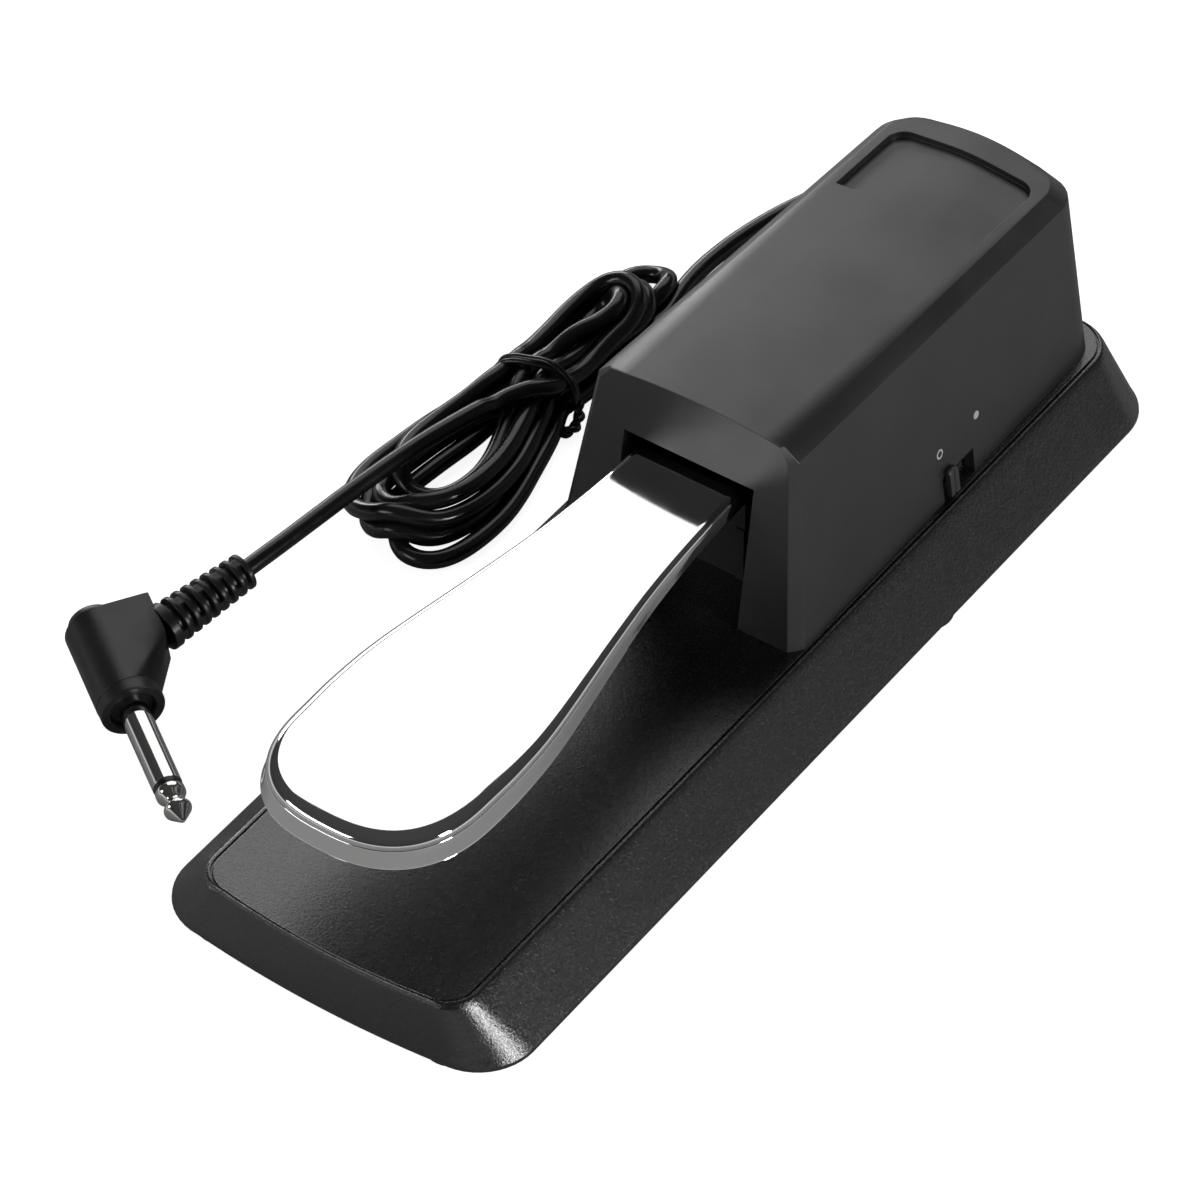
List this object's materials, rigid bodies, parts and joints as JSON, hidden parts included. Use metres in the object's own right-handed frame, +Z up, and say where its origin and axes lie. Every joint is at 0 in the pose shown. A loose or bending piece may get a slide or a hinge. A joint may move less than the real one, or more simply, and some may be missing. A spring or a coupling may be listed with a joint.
{
  "type": "sustain foot pedal",
  "caption": "Foot pedal with a chrome treadle on a low black base, a rear housing with spring, contact and polarity switch, and a tied lead with a right-angle jack plug.",
  "frame": {"origin": "centre of the base's footprint, on the floor under the rubber feet", "axes": "+Z up; the base's length runs along Y, with the treadle's toe end towards -Y and the housing towards +Y; +X is the side with the polarity switch"},
  "size_m": [0.145, 0.2886, 0.0643],
  "materials": {
    "base_plastic": "fine moulded texture",
    "cover_plastic": "satin",
    "treadle_chrome": "polished",
    "zinc_steel": "zinc plated",
    "sheet_steel": "satin",
    "spring_steel": "drawn wire",
    "ballast_iron": "as cast",
    "rubber_black": "matt",
    "stop_rubber": "matt",
    "felt_red": "pressed felt",
    "nylon": "moulded nylon",
    "brass_turned": "turned",
    "board_green": "solder mask",
    "part_black": "moulded",
    "plunger_red": "moulded",
    "switch_steel": "stamped",
    "knob_grey": "moulded",
    "wire_sheath": "satin",
    "cord_black": "glossy",
    "boot_black": "satin",
    "jack_nickel": "nickel plated",
    "jack_insulator": "moulded"
  },
  "bodies": {
    "base": {"base_shell": "base_plastic", "bottom_plate": "sheet_steel", "bottom_screws": "zinc_steel", "ballast_bar": "ballast_iron", "rubber_feet": "rubber_black", "housing_cover": "cover_plastic", "cover_screws": "zinc_steel", "axle_bracket": "sheet_steel", "bracket_screws": "zinc_steel", "axle_pin": "zinc_steel", "axle_clip": "spring_steel", "return_spring": "spring_steel", "spring_seat": "nylon", "stop_post": "part_black", "lower_stop_pad": "stop_rubber", "upper_stop_pad": "felt_red", "board_standoffs": "brass_turned", "circuit_board": "board_green", "board_screws": "zinc_steel", "contact_block": "part_black", "board_parts": "part_black", "polarity_switch": "switch_steel", "inner_wires": "wire_sheath", "cable_clamp": "part_black", "cord_relief": "boot_black", "cord_lead": "cord_black", "cord_hank": "cord_black", "cord_tie": "part_black", "cord_tail": "cord_black", "plug_boot": "boot_black", "plug_relief": "boot_black", "plug_sleeve": "jack_nickel", "plug_insulator": "jack_insulator", "plug_tip": "jack_nickel"},
    "treadle": {"treadle_plate": "treadle_chrome", "treadle_lugs": "sheet_steel", "pivot_bushes": "nylon", "treadle_rivets": "zinc_steel", "spring_cup": "nylon", "switch_actuator": "nylon"},
    "knob": {"polarity_knob": "knob_grey"},
    "plunger": {"contact_plunger": "plunger_red"}
  },
  "joints": [
    {"name": "treadle_hinge", "type": "hinge", "parent": "base", "child": "treadle", "pos_m": [0, 0.07, 0.038], "axis": [1, 0, 0], "range_deg": [0, 6.5], "stiffness_Nm_per_rad": 6, "springref_deg": -9.74, "deforming": ["return_spring"]},
    {"name": "contact_slide", "type": "slide", "parent": "base", "child": "plunger", "axis": [0, 0, 1], "range_m": [0, 0.002]},
    {"name": "polarity_slide", "type": "slide", "parent": "base", "child": "knob", "axis": [0, 1, 0], "range_m": [0, 0.008]}
  ],
  "couplings": [
    {"joint": "contact_slide", "follows": "treadle_hinge", "m_per_rad": 0.017}
  ]
}
